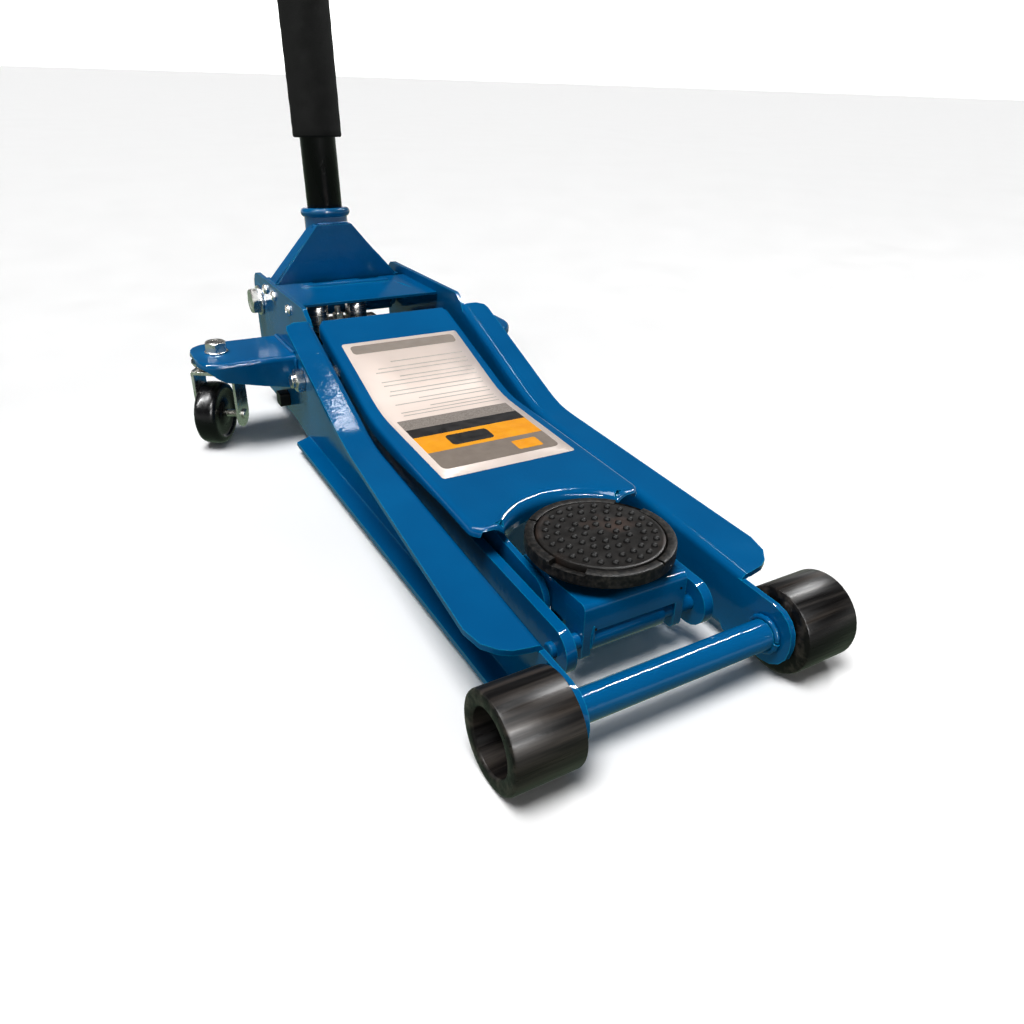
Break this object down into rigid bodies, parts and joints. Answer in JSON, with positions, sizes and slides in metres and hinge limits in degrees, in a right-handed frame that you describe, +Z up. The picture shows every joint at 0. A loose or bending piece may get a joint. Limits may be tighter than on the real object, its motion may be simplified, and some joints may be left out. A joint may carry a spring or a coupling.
{
  "type": "hydraulic floor jack",
  "caption": "Low-profile trolley floor jack with a lifting arm, levelled round saddle, swivel rear casters and a long pump handle.",
  "frame": {"origin": "centre of the footprint on the floor", "axes": "+X to the jack's right side seen from behind the saddle end, -Y towards the saddle and front wheels, +Y towards the handle, +Z up"},
  "size_m": [0.4046, 0.831, 1.2836],
  "materials": {
    "blue_paint": "gloss",
    "zinc_plate": "bright zinc plate",
    "bright_steel": "polished",
    "black_wheel": "satin black",
    "black_rubber": "matte",
    "foam_sleeve": "matte foam",
    "black_tube": "satin black",
    "caster_nylon": "semi-gloss",
    "label": "coated"
  },
  "bodies": {
    "frame": {"side_plate_left": "blue_paint", "side_plate_right": "blue_paint", "caster_bracket_left": "blue_paint", "caster_bracket_right": "blue_paint", "front_axle_tube": "blue_paint", "rear_cross_plate": "blue_paint", "rear_tie_plate": "blue_paint", "link_anchor_rod": "zinc_plate", "arm_pivot_bolt_left": "zinc_plate", "arm_pivot_bolt_right": "zinc_plate", "arm_pivot_nut_left": "zinc_plate", "arm_pivot_nut_right": "zinc_plate", "yoke_bolt_left": "zinc_plate", "yoke_bolt_right": "zinc_plate", "frame_plug_left": "black_rubber", "frame_plug_right": "black_rubber", "front_axle_shaft": "bright_steel", "axle_clip_left": "zinc_plate", "axle_clip_right": "zinc_plate", "caster_bolt_left": "zinc_plate", "caster_bolt_right": "zinc_plate", "caster_race_left": "zinc_plate", "caster_race_right": "zinc_plate", "pump_block": "black_wheel", "relief_screw": "zinc_plate", "ram_cylinder": "blue_paint"},
    "lift_arm": {"arm_plate_left": "blue_paint", "arm_plate_right": "blue_paint", "arm_inner_plate_left": "blue_paint", "arm_inner_plate_right": "blue_paint", "arm_cross_bar": "blue_paint", "ram_lug_bar": "bright_steel", "cover_plate": "blue_paint", "cover_label": "label", "return_spring_left": "bright_steel", "return_spring_right": "bright_steel"},
    "cradle": {"saddle_cradle": "blue_paint", "cradle_pin": "blue_paint", "link_pin": "zinc_plate"},
    "saddle": {"saddle_dish": "black_rubber", "saddle_pad": "black_rubber"},
    "level_links": {"level_link_left": "zinc_plate", "level_link_right": "zinc_plate"},
    "ram": {"ram_piston": "bright_steel"},
    "yoke": {"handle_yoke": "blue_paint"},
    "handle": {"handle_lower_tube": "black_tube", "handle_sleeve": "foam_sleeve", "handle_upper_tube": "black_tube", "handle_grip": "black_rubber"},
    "plungers": {"pump_plunger_left": "bright_steel", "pump_plunger_right": "bright_steel"},
    "valve": {"release_valve": "zinc_plate"},
    "front_wheel_left": {"front_wheel_left": "black_wheel"},
    "front_wheel_right": {"front_wheel_right": "black_wheel"},
    "caster_left": {"caster_fork_left": "zinc_plate", "caster_axle_left": "zinc_plate"},
    "caster_wheel_left": {"caster_wheel_left": "caster_nylon"},
    "caster_right": {"caster_fork_right": "zinc_plate", "caster_axle_right": "zinc_plate"},
    "caster_wheel_right": {"caster_wheel_right": "caster_nylon"}
  },
  "joints": [
    {"name": "arm_lift", "type": "hinge", "parent": "frame", "child": "lift_arm", "pos_m": [0, 0.15212, 0.08], "axis": [-1, 0, 0], "range_deg": [0, 45]},
    {"name": "cradle_level", "type": "hinge", "parent": "lift_arm", "child": "cradle", "pos_m": [0, -0.32988, 0.038], "axis": [1, 0, 0], "range_deg": [0, 45]},
    {"name": "saddle_turn", "type": "hinge", "parent": "cradle", "child": "saddle", "pos_m": [0, -0.28788, 0.071], "axis": [0, 0, 1], "continuous": true},
    {"name": "link_swing", "type": "hinge", "parent": "frame", "child": "level_links", "pos_m": [0, 0.19212, 0.066], "axis": [-1, 0, 0], "range_deg": [0, 45]},
    {"name": "ram_slide", "type": "slide", "parent": "frame", "child": "ram", "axis": [0, -1, 0], "range_m": [0, 0.0307]},
    {"name": "yoke_pump", "type": "hinge", "parent": "frame", "child": "yoke", "pos_m": [0, 0.30812, 0.132], "axis": [-1, 0, 0], "range_deg": [0, 60]},
    {"name": "plunger_slide", "type": "slide", "parent": "frame", "child": "plungers", "axis": [0, -1, 0], "range_m": [0, 0.0158]},
    {"name": "handle_twist", "type": "hinge", "parent": "yoke", "child": "handle", "pos_m": [0, 0.30862, 0.2353], "axis": [0, 0.0809, 0.9967], "range_deg": [0, 60]},
    {"name": "valve_turn", "type": "hinge", "parent": "frame", "child": "valve", "pos_m": [0, 0.32012, 0.062], "axis": [0, 1, 0], "range_deg": [0, 60]},
    {"name": "front_wheel_spin_left", "type": "hinge", "parent": "frame", "child": "front_wheel_left", "pos_m": [-0.118, -0.38188, 0.0336], "axis": [1, 0, 0], "continuous": true},
    {"name": "front_wheel_spin_right", "type": "hinge", "parent": "frame", "child": "front_wheel_right", "pos_m": [0.118, -0.38188, 0.0336], "axis": [1, 0, 0], "continuous": true},
    {"name": "caster_swivel_left", "type": "hinge", "parent": "frame", "child": "caster_left", "pos_m": [-0.166, 0.21312, 0.085], "axis": [0, 0, 1], "continuous": true},
    {"name": "caster_spin_left", "type": "hinge", "parent": "caster_left", "child": "caster_wheel_left", "pos_m": [-0.16936, 0.20814, 0.035], "axis": [0.829, -0.5592, 0], "continuous": true},
    {"name": "caster_swivel_right", "type": "hinge", "parent": "frame", "child": "caster_right", "pos_m": [0.166, 0.21312, 0.085], "axis": [0, 0, 1], "continuous": true},
    {"name": "caster_spin_right", "type": "hinge", "parent": "caster_right", "child": "caster_wheel_right", "pos_m": [0.16936, 0.20814, 0.035], "axis": [0.829, 0.5592, 0], "continuous": true}
  ],
  "couplings": [
    {"joint": "cradle_level", "follows": "arm_lift", "ratio": 1},
    {"joint": "link_swing", "follows": "arm_lift", "ratio": 1},
    {"joint": "ram_slide", "follows": "arm_lift", "m_per_rad": 0.039},
    {"joint": "plunger_slide", "follows": "yoke_pump", "m_per_rad": 0.015},
    {"joint": "valve_turn", "follows": "handle_twist", "ratio": 1}
  ]
}
